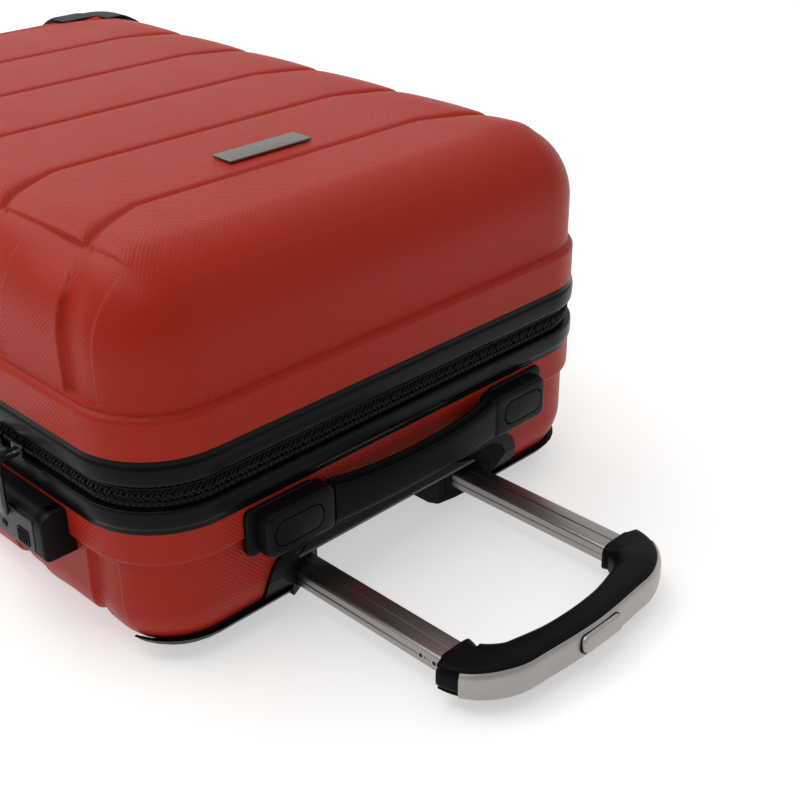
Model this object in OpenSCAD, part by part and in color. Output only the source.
// Hard shell cabin suitcase lying on its back, in millimetres.
// X is the width: the lock side is -X and the hinge side +X.
// Y is the length: the handles are at -Y and the wheels at +Y.
// Z is the depth: the back face lies on Z = 0 and the front face is on top.
// The origin is the middle of the flat back face.

/* [Case] */
// Width over the edge trims
case_w = 345; // [335:1:360]
// Length of the case without its wheels
case_l = 500; // [480:1:520]
// Depth from the back face to the front face
case_d = 216; // [210:1:226]
// Radius of the moulded corners, and of the front half's edge
edge_r = 44; // [42:1:46]
// Radius of the rear half's edge along the back face
rear_edge_r = 36; // [34:1:38]
// Wall thickness of the moulded shells
wall = 2.5; // [2:0.1:3]
// Spacing of the grooves across the front
groove_pitch = 74; // [66:1:76]
// Distance from the handle end to the first groove
groove_first = 88; // [80:1:92]

/* [Zip and trims] */
// Height of the zip's middle above the back face
zip_z = 103.5; // [101:0.5:106]
// Height of the gap between the two trims
zip_gap = 13.5; // [13:0.5:15]
// Height of each edge trim
trim_h = 14.5; // [13:0.5:15]
// How far the trims stand out past the shells
trim_out = 3; // [3:0.5:4]

/* [Trolley handle] */
// Distance between the tubes' centre lines
tube_gap = 130.6; // [126:0.2:134]
// Width of the inner tubes
tube_w = 17.8; // [17:0.2:18.6]
// Thickness of the inner tubes
tube_t = 10; // [9.6:0.2:10.4]
// Height of the tubes' centre lines above the back face
tube_z = 18; // [17.5:0.5:19]
// Tube length showing between the bezel and the grip
shown = 114; // [30:1:120]
// Radius of the grip bar's section
grip_r = 11.4; // [11:0.1:11.6]
// Half the grip's overall width
grip_half = 84; // [82:1:86]

/* [Wheels] */
// Radius of each wheel
wheel_r = 20; // [18:0.5:21]
// Width of each wheel
wheel_w = 19; // [16:0.5:20]
// Distance from the swivel's axis to the wheel's axle
trail = 14; // [12:1:15]
// Overall length of a caster below the shell's end
caster_l = 51; // [51:1:54]

/* [Hidden] */

hull_fn = 32;
edge_steps = 8;
round_fn = 64;
gap = 0.3;
through = 1;

shell_w = case_w - 2 * trim_out;
shell_l = case_l - 2 * trim_out;
end_y = -case_l / 2;
rear_trim_top = zip_z - zip_gap / 2;
front_trim_low = zip_z + zip_gap / 2;
trim_base = 2;
trim_lip = 2.5;
rear_rim = rear_trim_top - trim_base;
front_rim = front_trim_low + trim_base;
trim_r = edge_r + trim_out;
hinge_half = case_l / 2 - 50;
tape_in = 4.5;
tape_t = 1;
coil_t = 2.6;
coil_h = 2.2;

lining_gap = 0.4;
lining_t = 1;
board_z = 27.8;
board_t = 1.6;
web_w = 25;
web_t = 1.2;
web_z = board_z + board_t + 0.1;

sleeve_wall = 1.2;
sleeve_play = 0.4;
mid_w = tube_w + 2 * (sleeve_play + sleeve_wall);
mid_t = tube_t + 2 * (sleeve_play + sleeve_wall);
outer_w = mid_w + 2 * (sleeve_play + sleeve_wall);
outer_t = mid_t + 2 * (sleeve_play + sleeve_wall);
bezel_y = end_y + 17;
collar_l = 6;
collar_w = outer_w + 1;
collar_t = outer_t + 1;
sleeve_y = bezel_y + 8;
sleeve_l = 411;
mid_l = 413;
inner_l = 410;
leg_y = bezel_y - shown;
bar_y = leg_y - 32;
tube_front = leg_y - 12;
bezel_top = 47;
bezel_half = 98;
bezel_r = 22;
bezel_back = end_y + 37;
bezel_proud = 0.8;
dish_top = 42;
dish_half = 88;
dish_flat = 28;
well_half = tube_gap / 2 - outer_w / 2 - 4.2;
well_back = end_y + 62;
well_wall = 3.5;
skirt_t = 3.5;
skirt_side = 0.6;
skirt_top = 15;
foot_l = 20;
rod_r = 1.6;
screw_r = 2;

handle_half = 107;
handle_in = 61;
handle_low = 54;
handle_high = 80;
handle_front = end_y - 11;
strap_low = 57;
strap_high = 77;
strap_t = 8;
strap_back = end_y + 1;
strap_bow = 10;

lock_y0 = end_y + 66;
lock_l = 76;
lock_low = 55;
lock_high = 81.5;
lock_out = 17;
lock_x = -shell_w / 2 - lock_out;
lock_face_t = 1.2;
release_travel = 5;
key_y = lock_y0 + 68;
key_r = 3.5;
dial_r = 6.5;
dial_w = 4.5;
dial_pitch = 8;
dial_y0 = lock_y0 + 34;
dial_x = lock_x + 5.6;
dial_z = 64;
shaft_r = 1.2;

slider_near_y = end_y + 98;
slider_far_y = end_y + 118;
pull_x = lock_x - 1.9;
pull_z = zip_z;
pull_l = 32;
pull_pin_r = 0.9;

caster_x = case_w / 2 - 40.5;
rear_caster_z = 40;
front_caster_z = case_d - 40;
housing_y = case_l / 2 + 8;
axle_y = case_l / 2 + caster_l - wheel_r;
axle_r = 3;
swivel_r = 4;
fork_gap = 0.6;
run_fit = 0.06;
guard_t = 2.5;

groove_w = 3;
groove_cut = 1.2;
groove_flat = 94;
groove_reach = 124;
groove_sweep = 20;
pocket_l = 27;
groove_count = 6;

red = [0.55, 0.13, 0.11];
black = [0.06, 0.06, 0.06];
silver = [0.72, 0.71, 0.69];
grey = [0.45, 0.44, 0.43];

// ---- plan shapes -------------------------------------------------------

module rounded_rect(w, l, r) {
    square([w - 2 * r, l], center = true);
    square([w, l - 2 * r], center = true);
    for (x = [-1, 1], y = [-1, 1])
        translate([x * (w / 2 - r), y * (l / 2 - r)]) circle(r = r, $fn = round_fn);
}

module ring(w, l, r, t, z0, z1) {
    translate([0, 0, z0]) linear_extrude(z1 - z0) difference() {
        rounded_rect(w, l, r);
        rounded_rect(w - 2 * t, l - 2 * t, r - t);
    }
}

module stadium(l, w) {
    square([l - w, w], center = true);
    for (x = [-1, 1]) translate([x * (l - w) / 2, 0]) circle(d = w, $fn = round_fn);
}

module mirror_x() {
    children();
    mirror([1, 0, 0]) children();
}

// Box given by its low and high corners
module block(low, high) {
    translate(low) cube(high - low);
}

// Half section of a tray's corner: plan radius r, edge radius e
module corner_section(r, e, depth) {
    polygon(concat(r > e + 0.001 ? [[0, 0]] : [],
        [for (a = [0 : 90 / edge_steps : 90]) [r - e + e * sin(a), e - e * cos(a)]],
        [[r, depth], [0, depth]]));
}

// Solid tray grown outwards by grow: a flat face at flat_z with edge radius e, and a rim at rim_z
module tray(grow, e, flat_z, rim_z) {
    way = rim_z > flat_z ? 1 : -1;
    r = edge_r + grow;
    hull() for (x = [-1, 1], y = [-1, 1])
        translate([x * (shell_w / 2 - edge_r), y * (shell_l / 2 - edge_r), flat_z - way * grow])
            mirror([0, 0, way > 0 ? 0 : 1]) rotate_extrude($fn = hull_fn)
                corner_section(r, e + grow, abs(rim_z - flat_z) + grow);
}

module tray_skin(inset, t, e, flat_z, rim_z) {
    way = rim_z > flat_z ? 1 : -1;
    difference() {
        tray(-inset, e, flat_z, rim_z);
        tray(-inset - t, e, flat_z, rim_z + way * through);
    }
}

// ---- shells ------------------------------------------------------------

module groove(y) {
    translate([0, 0, case_d - groove_cut]) linear_extrude(groove_cut + through) mirror_x() polygon([
        [-through, y - groove_w / 2], [groove_flat, y - groove_w / 2],
        [groove_reach, y - groove_sweep - groove_w / 2], [groove_reach, y - groove_sweep + groove_w / 2],
        [groove_flat, y + groove_w / 2], [-through, y + groove_w / 2]]);
}

module side_pockets(z0, z1) {
    for (i = [0 : groove_count - 1]) mirror_x()
        block([shell_w / 2 - groove_cut, end_y + groove_first + i * groove_pitch - 53, z0],
            [shell_w / 2 + through, end_y + groove_first + i * groove_pitch - 53 + pocket_l, z1]);
}

module front_shell() {
    color(red) difference() {
        tray_skin(0, wall, edge_r, case_d, front_rim);
        for (i = [0 : groove_count - 1]) groove(end_y + groove_first + i * groove_pitch);
        side_pockets(front_trim_low + trim_h + 14, case_d - edge_r + 8);
    }
}

module rear_shell() {
    color(red) difference() {
        tray_skin(0, wall, rear_edge_r, 0, rear_rim);
        side_pockets(edge_r - 8, rear_trim_top - trim_h - 22);
        bezel_body(0.05);
    }
}

module trim(low, high, base_low, base_high) {
    ring(case_w, case_l, trim_r, trim_out - 0.05, low, high);
    ring(case_w, case_l, trim_r, trim_out + wall + trim_lip, base_low, base_high);
    ring(shell_w - 2 * wall - 0.5, shell_l - 2 * wall - 0.5, edge_r - wall - 0.25,
        trim_lip - 0.25, low, high);
}

module rear_trim() {
    color(black) trim(rear_trim_top - trim_h, rear_trim_top, rear_rim, rear_trim_top);
}

module front_trim() {
    color(black) trim(front_trim_low, front_trim_low + trim_h, front_trim_low, front_rim);
}

// ---- zip ---------------------------------------------------------------

module hinge_gap() {
    block([case_w / 2 - 20, -hinge_half, 0], [case_w / 2 + 1, hinge_half, case_d]);
}

module zip_tape(z0, z1) {
    color(black) difference() {
        ring(case_w - 2 * tape_in, case_l - 2 * tape_in, trim_r - tape_in, tape_t, z0, z1);
        hinge_gap();
    }
}

module rear_zip_tape() {
    zip_tape(rear_trim_top, zip_z - 0.3);
}

module front_zip_tape() {
    zip_tape(zip_z + 0.3, front_trim_low);
}

module zip_coil(z0) {
    out = tape_in - coil_t + 0.1;
    color(black) difference() {
        ring(case_w - 2 * out, case_l - 2 * out, trim_r - out, coil_t - 0.15, z0, z0 + coil_h);
        hinge_gap();
    }
}

module rear_zip_coil() {
    zip_coil(zip_z - 0.2 - coil_h);
}

module front_zip_coil() {
    zip_coil(zip_z + 0.2);
}

module hinge_strip() {
    color(black) block([case_w / 2 - tape_in + 1, -hinge_half + 1, rear_trim_top],
        [case_w / 2 - tape_in + 2.2, hinge_half - 1, front_trim_low - 0.4]);
}

// Slider body: two plates joined by a neck, with a bridge that holds the pull tab
module zip_slider(y) {
    pin_top = pull_z + 2.4;
    color(grey) difference() {
        union() {
            block([-case_w / 2 + tape_in - 2.4 - 6.5, y - 5, zip_z - 4.5],
                [-case_w / 2 + tape_in - 2.4 - 2, y + 5, zip_z + 4.5]);
            block([pull_x - 1.6, y - 1.5, pull_z - 2.4], [-case_w / 2 - 3, y + 1.5, pin_top]);
        }
        translate([pull_x, y - 3, pull_z]) rotate([-90, 0, 0])
            cylinder(r = pull_pin_r + run_fit, h = 6, $fn = round_fn);
    }
}

// Pull tab: two ears on a pin through the slider's bridge, and a flat tongue below
module pull_tab(y) {
    color(grey) {
        translate([pull_x, y - 4.5, pull_z]) rotate([-90, 0, 0])
            cylinder(r = pull_pin_r, h = 9, $fn = round_fn);
        for (side = [-4.5, 2.5])
            block([pull_x - 1, y + side, pull_z - 6], [pull_x + 1, y + side + 2, pull_z + 1]);
        difference() {
            block([pull_x - 1, y - 4.5, pull_z - pull_l], [pull_x + 1, y + 4.5, pull_z - 5]);
            block([pull_x - 2, y - 2, pull_z - pull_l + 4], [pull_x + 2, y + 2, pull_z - pull_l + 9]);
        }
    }
}

module zip_slider_near() { zip_slider(slider_near_y); }
module zip_slider_far() { zip_slider(slider_far_y); }
module pull_tab_near() { pull_tab(slider_near_y); }
module pull_tab_far() { pull_tab(slider_far_y); }

// ---- inside ------------------------------------------------------------

module rear_lining() {
    color(grey) difference() {
        tray_skin(wall + lining_gap, lining_t, rear_edge_r, 0, rear_rim - trim_h - 1);
        block([-shell_w, -shell_l, -1], [shell_w, shell_l, board_z + board_t + 0.2]);
        bezel_body(0.5);
    }
}

module front_lining() {
    color(grey) tray_skin(wall + lining_gap, lining_t, edge_r, case_d, front_rim + trim_h + 1);
}

module floor_board() {
    inset = 2 * (wall + lining_gap + lining_t + 4);
    color(grey) difference() {
        translate([0, 0, board_z]) linear_extrude(board_t)
            rounded_rect(shell_w - inset, shell_l - inset, edge_r - 8);
        bezel_body(0.5);
    }
}

module divider_panel() {
    inset = 2 * (wall + trim_lip + 3);
    color(grey) translate([0, 0, front_trim_low + 0.5]) linear_extrude(1.5)
        rounded_rect(shell_w - inset, shell_l - inset, edge_r - 9);
}

module compression_straps() {
    reach_x = shell_w / 2 - 16;
    reach_y = shell_l / 2 - 75;
    color(black) translate([0, 0, web_z]) linear_extrude(web_t) difference() {
        for (x = [-1, 1], y = [-1, 1]) polygon([
            [x * 8, y * 4], [x * reach_x, y * (reach_y - web_w / 2)],
            [x * reach_x, y * (reach_y + web_w / 2)], [x * 8, y * (4 + web_w)]]);
        square([56, 42], center = true);
    }
}

module strap_buckle() {
    color(black) translate([0, 0, web_z]) {
        difference() {
            linear_extrude(8) rounded_rect(55, 41, 8);
            translate([0, 0, 6]) linear_extrude(3) rounded_rect(30, 18, 5);
        }
        translate([0, 0, 5]) linear_extrude(4) rounded_rect(24, 12, 4);
    }
}

// ---- trolley -----------------------------------------------------------

module tube_holes(w, t, y0, y1) {
    mirror_x()
        block([tube_gap / 2 - w / 2, y0, tube_z - t / 2], [tube_gap / 2 + w / 2, y1, tube_z + t / 2]);
}

module tubes(w, t, y0, y1) {
    difference() {
        tube_holes(w, t, y0, y1);
        tube_holes(w - 2 * sleeve_wall, t - 2 * sleeve_wall, y0 - through, y1 + through);
    }
}

module outer_sleeves() {
    color(silver) tubes(outer_w, outer_t, sleeve_y, sleeve_y + sleeve_l);
}

module mid_tubes() {
    color(silver) tubes(mid_w, mid_t, bezel_y + 2, bezel_y + 2 + mid_l);
}

module mid_collars() {
    color(black) difference() {
        tube_holes(collar_w, collar_t, bezel_y - 11, bezel_y + 1 + collar_l);
        tube_holes(mid_w + 0.02, mid_t + 0.02, bezel_y + 2, bezel_y + 2 + collar_l);
        tube_holes(tube_w + 0.6, tube_t + 0.6, bezel_y - 12, bezel_y + 2 + collar_l);
        dish();
    }
}

module mid_tube_feet() {
    y = bezel_y + 2 + mid_l;
    color(black) difference() {
        tube_holes(mid_w, mid_t, y, y + 4);
        tube_holes(tube_w + 1, tube_t + 1, y - through, y + 4 + through);
    }
}

module inner_tubes() {
    color(silver) difference() {
        tubes(tube_w, tube_t, tube_front, tube_front + inner_l);
        screw_places() translate([0, 0, -3]) cylinder(r = screw_r, h = 4, $fn = round_fn);
    }
}

module screw_places() {
    for (side = [-1, 1], dy = [5, 14])
        translate([side * (tube_gap / 2 + tube_w / 2), leg_y + dy, tube_z])
            rotate([0, side * 90, 0]) children();
}

module inner_tube_feet() {
    y = tube_front + inner_l;
    color(black) difference() {
        tube_holes(tube_w, tube_t, y, y + foot_l);
        mirror_x() rod_bore(y - through, y + foot_l + through);
    }
}

module rod_bore(y0, y1) {
    translate([tube_gap / 2, y0, tube_z]) rotate([-90, 0, 0])
        cylinder(r = rod_r + 0.3, h = y1 - y0, $fn = round_fn);
}

module push_rods() {
    color(silver) mirror_x() translate([tube_gap / 2, leg_y - 20, tube_z]) rotate([-90, 0, 0])
        cylinder(r = rod_r, h = inner_l + 24, $fn = round_fn);
}

module bottom_bracket() {
    y = sleeve_y + sleeve_l;
    color(black) difference() {
        block([-tube_gap / 2 - 22, y - 16, wall + 0.4], [tube_gap / 2 + 22, y + 10, board_z - 0.3]);
        tube_holes(outer_w + 0.02, outer_t + 0.02, y - 16 - through, y);
        tube_holes(mid_w, mid_t, y - through, y + 8);
    }
}

module bezel_body(grow) {
    h = 2 * (bezel_top + grow);
    translate([0, bezel_back + grow, 0]) rotate([90, 0, 0]) linear_extrude(bezel_back - end_y + 6)
        intersection() {
            rounded_rect(2 * (bezel_half + grow), h, bezel_r + grow);
            translate([-case_w / 2, 0]) square([case_w, h]);
        }
    block([-well_half - well_wall - grow, bezel_back - 1, 0],
        [well_half + well_wall + grow, well_back + well_wall + grow, bezel_top + grow]);
}

// Hollow in the case's end for the grip: open below, and deeper between the tubes
module dish() {
    rim_y = end_y + trim_out;
    intersection() {
        translate([0, 0, -1]) linear_extrude(dish_top + 1) {
            polygon([[-dish_half, rim_y], [-74, rim_y + 6], [-56, rim_y + 14], [-40, rim_y + 22],
                [-dish_flat, rim_y + 26], [dish_flat, rim_y + 26], [40, rim_y + 22], [56, rim_y + 14],
                [74, rim_y + 6], [dish_half, rim_y], [dish_half, rim_y - 9], [-dish_half, rim_y - 9]]);
            translate([0, (rim_y + well_back) / 2]) rounded_rect(2 * well_half, well_back - rim_y, 9);
        }
        translate([0, well_back + 1, 0]) rotate([90, 0, 0]) linear_extrude(100)
            rounded_rect(2 * dish_half + 2, 2 * dish_top, bezel_r - 4);
    }
}

// Black surround of the tubes, with a skirt that wraps the back edge at this end
module trolley_bezel() {
    color(black) difference() {
        union() {
            intersection() {
                translate([0, skirt_side - skirt_t, 0]) tray(skirt_side, rear_edge_r, 0, rear_rim);
                block([-case_w / 2 - 2, end_y - 5, 0], [case_w / 2 + 2, end_y + edge_r - 10, skirt_top]);
            }
            intersection() {
                tray(bezel_proud, rear_edge_r, 0, rear_rim);
                bezel_body(0);
                block([-case_w / 2, end_y - 5, 0], [case_w / 2, well_back + well_wall, rear_rim]);
            }
        }
        difference() {
            tray(0, rear_edge_r, 0, rear_rim);
            bezel_body(0);
        }
        dish();
        tube_holes(collar_w + 0.8, collar_t + 0.8, end_y - 10, sleeve_y);
        tube_holes(outer_w + 0.02, outer_t + 0.02, sleeve_y - through, end_y + 60);
    }
}

// ---- grip --------------------------------------------------------------

module grip_shape() {
    corner = grip_half - grip_r;
    translate([-corner, bar_y, tube_z]) rotate([0, 90, 0])
        cylinder(r = grip_r, h = 2 * corner, $fn = round_fn);
    mirror_x() hull() {
        translate([corner, bar_y, tube_z]) sphere(r = grip_r, $fn = hull_fn);
        translate([corner - 16, bar_y, tube_z]) sphere(r = grip_r, $fn = hull_fn);
        block([tube_gap / 2 - tube_w / 2 - 3, leg_y - 4, tube_z - tube_t / 2 - 3],
            [tube_gap / 2 + tube_w / 2 + 3, leg_y, tube_z + tube_t / 2 + 3]);
    }
}

// Prism that parts the soft inner grip from the hard front cap
module grip_core(extra) {
    translate([0, bar_y + 45 - 5, tube_z - 30]) linear_extrude(60)
        rounded_rect(2 * (grip_half - 7) + extra, 90 + extra, 16);
}

module button_shape(grow, h0, h1) {
    translate([0, bar_y, tube_z]) rotate([45, 0, 0]) translate([0, 0, h0])
        linear_extrude(h1 - h0) stadium(38 + 2 * grow, 9 + 2 * grow);
}

module leg_bores() {
    tube_holes(tube_w + 0.02, tube_t + 0.02, tube_front, leg_y + through);
    mirror_x() rod_bore(leg_y - 24, leg_y);
}

module grip_body() {
    color(black) difference() {
        intersection() { grip_shape(); grip_core(0); }
        leg_bores();
        button_shape(gap, 2.5, 20);
    }
}

module grip_cap() {
    color(silver) difference() {
        grip_shape();
        grip_core(0.02);
        leg_bores();
        button_shape(gap, 2.5, 20);
    }
}

module grip_button() {
    color(silver) button_shape(0, 6.5, grip_r + 1.8);
}

module grip_screws() {
    color(black) screw_places() translate([0, 0, -0.9])
        cylinder(r = screw_r - 0.02, h = 1.05, $fn = round_fn);
}

// ---- carry handle ------------------------------------------------------

module handle_bases() {
    seat = end_y + trim_out;
    color(black) mirror_x() difference() {
        union() {
            block([67, handle_front + 9, handle_low + 1], [handle_half + 6, seat, handle_high + 1]);
            translate([0, handle_front + 13.9, 0]) rotate([90, 0, 0]) linear_extrude(13.9)
                translate([(handle_half + handle_in) / 2, (handle_low + handle_high) / 2])
                    rounded_rect(handle_half - handle_in, handle_high - handle_low, 5);
        }
        block([handle_in - 1, handle_front + 2.5, strap_low - 1],
            [handle_half - 8, seat - 1.5, strap_high + 1]);
        translate([0, handle_front + 1.2, 0]) rotate([90, 0, 0]) linear_extrude(2) handle_cap_outline(0.02);
    }
}

module handle_cap_outline(extra) {
    translate([(handle_half + handle_in) / 2 + 3, (handle_low + handle_high) / 2])
        rounded_rect(handle_half - handle_in - 14 + extra, 14 + extra, 6);
}

module handle_caps() {
    color(black) mirror_x() translate([0, handle_front + 1.2, 0]) rotate([90, 0, 0])
        linear_extrude(1.5) handle_cap_outline(0);
}

module handle_strap() {
    half = handle_in - 5;
    arc_r = (half * half + strap_bow * strap_bow) / (2 * strap_bow);
    arc = asin(half / arc_r);
    color(black) {
        translate([0, strap_back - strap_bow + arc_r, 0]) rotate([0, 0, -90 - arc])
            rotate_extrude(angle = 2 * arc, $fn = 128)
                translate([arc_r, strap_low]) square([strap_t, strap_high - strap_low]);
        mirror_x() block([half - 4, strap_back - 3.5, strap_low + 1],
            [handle_half - 9, strap_back - 0.5, strap_high - 1]);
    }
}

// ---- lock --------------------------------------------------------------

module lock_outline(inset) {
    polygon([[lock_x + inset, lock_low + 3 + inset], [lock_x + 4 + inset, lock_low + inset],
        [-shell_w / 2 - 0.1, lock_low + inset], [-shell_w / 2 - 0.1, lock_high - inset],
        [lock_x + 7, lock_high - inset], [lock_x + 2 + inset, lock_high - 2.5 - inset],
        [lock_x + inset, lock_high - 7]]);
}

module lock_prism(y0, y1, inset) {
    translate([0, y1, 0]) rotate([90, 0, 0]) linear_extrude(y1 - y0) lock_outline(inset);
}

module dial_slot(i) {
    translate([dial_x, dial_y0 + i * dial_pitch - 0.3, dial_z]) rotate([-90, 0, 0])
        cylinder(r = dial_r + 0.5, h = dial_w + 0.6, $fn = round_fn);
}

module lock_body() {
    color(black) difference() {
        lock_prism(lock_y0, lock_y0 + lock_l, 0);
        block([lock_x - 1, lock_y0 + 8, lock_low + 4],
            [lock_x + lock_face_t, lock_y0 + lock_l - 4, lock_high - 7]);
        for (i = [0 : 2]) dial_slot(i);
        release_space(0.3);
        translate([dial_x, dial_y0 - 1, dial_z]) rotate([-90, 0, 0])
            cylinder(r = shaft_r + 0.01, h = 3 * dial_pitch, $fn = round_fn);
        translate([lock_x - 1, key_y, dial_z]) rotate([0, 90, 0])
            cylinder(r = key_r + run_fit, h = 9, $fn = round_fn);
    }
}

module lock_face() {
    color(grey) difference() {
        block([lock_x, lock_y0 + 8.1, lock_low + 4.1],
            [lock_x + lock_face_t - 0.1, lock_y0 + lock_l - 4.1, lock_high - 7.1]);
        for (i = [0 : 2]) dial_slot(i);
        release_space(0.3);
        translate([lock_x - 1, key_y, dial_z]) rotate([0, 90, 0])
            cylinder(r = key_r + run_fit, h = 9, $fn = round_fn);
    }
}

module dial_shaft() {
    color(silver) translate([dial_x, dial_y0 - 1, dial_z]) rotate([-90, 0, 0])
        cylinder(r = shaft_r, h = 3 * dial_pitch - 1, $fn = round_fn);
}

module dial(i) {
    color(black) translate([dial_x, dial_y0 + i * dial_pitch, dial_z]) rotate([-90, 0, 0]) difference() {
        cylinder(r = dial_r, h = dial_w, $fn = round_fn);
        translate([0, 0, -through])
            cylinder(r = shaft_r + run_fit, h = dial_w + 2 * through, $fn = round_fn);
        for (a = [0 : 36 : 359]) rotate([0, 0, a]) translate([dial_r + 0.4, 0, -through])
            cylinder(r = 1, h = dial_w + 2 * through, $fn = 24);
    }
}

module dial_1() { dial(0); }
module dial_2() { dial(1); }
module dial_3() { dial(2); }

module release_space(grow) {
    block([lock_x - 2, lock_y0 + 13 - grow, dial_z - 5 - grow],
        [lock_x + 5 + grow, lock_y0 + 24 + release_travel + grow, dial_z + 5 + grow]);
}

module lock_release() {
    color(black) {
        block([lock_x - 0.6, lock_y0 + 13, dial_z - 5], [lock_x + 4, lock_y0 + 24, dial_z + 5]);
        block([lock_x - 1.4, lock_y0 + 17, dial_z - 4], [lock_x, lock_y0 + 20, dial_z + 4]);
    }
}

module key_plug() {
    color(silver) difference() {
        translate([lock_x - 0.3, key_y, dial_z]) rotate([0, 90, 0])
            cylinder(r = key_r, h = 8, $fn = round_fn);
        block([lock_x - 1, key_y - 0.4, dial_z - 2.2], [lock_x + 5, key_y + 0.4, dial_z + 2.2]);
    }
}

// ---- casters -----------------------------------------------------------

module housing(z) {
    top = housing_y;
    front = z > zip_z;
    face_z = front ? case_d : 0;
    rim_z = front ? front_rim : rear_rim;
    edge = front ? edge_r : rear_edge_r;
    difference() {
        union() {
            translate([caster_x, top, z]) rotate([90, 0, 0]) linear_extrude(24) rounded_rect(62, 62, 22);
            intersection() {
                tray(guard_t, edge, face_z, rim_z);
                block([caster_x - 37, case_l / 2 - 60, front ? z - 32 : 0.01],
                    [case_w / 2 + 3, case_l / 2 + 3, front ? case_d - 0.01 : z + 32]);
            }
        }
        tray(0, edge, face_z, rim_z);
        translate([caster_x, top - 7, z]) rotate([-90, 0, 0]) cylinder(r = 13, h = 8, $fn = round_fn);
        translate([caster_x, case_l / 2 - 60, z]) rotate([-90, 0, 0])
            cylinder(r = swivel_r + 0.02, h = 80, $fn = round_fn);
    }
}

module swivel_pin(z) {
    translate([caster_x, case_l / 2 - 2, z]) rotate([-90, 0, 0])
        cylinder(r = swivel_r, h = housing_y - case_l / 2 + 6, $fn = round_fn);
}

module rear_wheel_housings() { color(black) mirror_x() housing(rear_caster_z); }
module front_wheel_housings() { color(black) mirror_x() housing(front_caster_z); }
module rear_swivel_pins() { color(silver) mirror_x() swivel_pin(rear_caster_z); }
module front_swivel_pins() { color(silver) mirror_x() swivel_pin(front_caster_z); }

// Fork: a turning boss in the housing, a crown, and two cheeks that hold the axle
module fork(side, z) {
    crown_y = housing_y + fork_gap;
    cheek = 3;
    half = wheel_w / 2 + 0.8;
    color(black) translate([side * caster_x, 0, z]) difference() {
        union() {
            translate([0, crown_y - 6, 0]) rotate([-90, 0, 0]) cylinder(r = 12, h = 7, $fn = round_fn);
            translate([0, crown_y, 0]) rotate([-90, 0, 0]) cylinder(r = 14, h = 6.5, $fn = round_fn);
            for (s = [-1, 1]) translate([s * (half + cheek / 2), 0, 0]) {
                block([-cheek / 2, crown_y + 1, -trail - 7], [cheek / 2, axle_y, 9]);
                translate([-cheek / 2, axle_y, -trail]) rotate([0, 90, 0])
                    cylinder(r = 7, h = cheek, $fn = round_fn);
            }
        }
        translate([0, crown_y - 8, 0]) rotate([-90, 0, 0])
            cylinder(r = swivel_r + run_fit, h = 13, $fn = round_fn);
        translate([-30, axle_y, -trail]) rotate([0, 90, 0])
            cylinder(r = axle_r + 0.01, h = 60, $fn = round_fn);
        translate([-half, axle_y, -trail]) rotate([0, 90, 0])
            cylinder(r = wheel_r + 0.8, h = 2 * half, $fn = round_fn);
    }
}

module axle(side, z) {
    half = wheel_w / 2 + 3.8;
    color(silver) translate([side * caster_x - half, axle_y, z - trail]) rotate([0, 90, 0])
        cylinder(r = axle_r, h = 2 * half, $fn = round_fn);
}

module wheel(side, z) {
    color(black) translate([side * caster_x - wheel_w / 2, axle_y, z - trail])
        rotate([0, 90, 0]) difference() {
        rotate_extrude($fn = round_fn) polygon([[axle_r + run_fit, 0], [wheel_r - 3, 0], [wheel_r, 3],
            [wheel_r, wheel_w - 3], [wheel_r - 3, wheel_w], [axle_r + run_fit, wheel_w]]);
        for (face = [-through, wheel_w - 2]) translate([0, 0, face]) difference() {
            cylinder(r = wheel_r - 6, h = 2 + through, $fn = round_fn);
            cylinder(r = axle_r + 3, h = 2 + through, $fn = round_fn);
        }
    }
}

module fork_rear_left() { fork(-1, rear_caster_z); }
module fork_rear_right() { fork(1, rear_caster_z); }
module fork_front_left() { fork(-1, front_caster_z); }
module fork_front_right() { fork(1, front_caster_z); }
module axle_rear_left() { axle(-1, rear_caster_z); }
module axle_rear_right() { axle(1, rear_caster_z); }
module axle_front_left() { axle(-1, front_caster_z); }
module axle_front_right() { axle(1, front_caster_z); }
module wheel_rear_left() { wheel(-1, rear_caster_z); }
module wheel_rear_right() { wheel(1, rear_caster_z); }
module wheel_front_left() { wheel(-1, front_caster_z); }
module wheel_front_right() { wheel(1, front_caster_z); }

// ---- badge -------------------------------------------------------------

module badge() {
    color(grey) translate([0, end_y + groove_first + 20, case_d]) linear_extrude(0.95)
        rounded_rect(57.5, 15.6, 0.8);
}

rear_shell();
rear_trim();
rear_zip_tape();
rear_zip_coil();
hinge_strip();
rear_lining();
floor_board();
compression_straps();
strap_buckle();
trolley_bezel();
outer_sleeves();
bottom_bracket();
handle_bases();
handle_caps();
lock_body();
lock_face();
dial_shaft();
rear_wheel_housings();
rear_swivel_pins();
front_shell();
front_trim();
front_zip_tape();
front_zip_coil();
front_lining();
divider_panel();
badge();
front_wheel_housings();
front_swivel_pins();
mid_tubes();
mid_collars();
mid_tube_feet();
inner_tubes();
inner_tube_feet();
grip_body();
grip_cap();
grip_screws();
grip_button();
push_rods();
handle_strap();
zip_slider_near();
zip_slider_far();
pull_tab_near();
pull_tab_far();
dial_1();
dial_2();
dial_3();
lock_release();
key_plug();
fork_rear_left();
fork_rear_right();
fork_front_left();
fork_front_right();
axle_rear_left();
axle_rear_right();
axle_front_left();
axle_front_right();
wheel_rear_left();
wheel_rear_right();
wheel_front_left();
wheel_front_right();
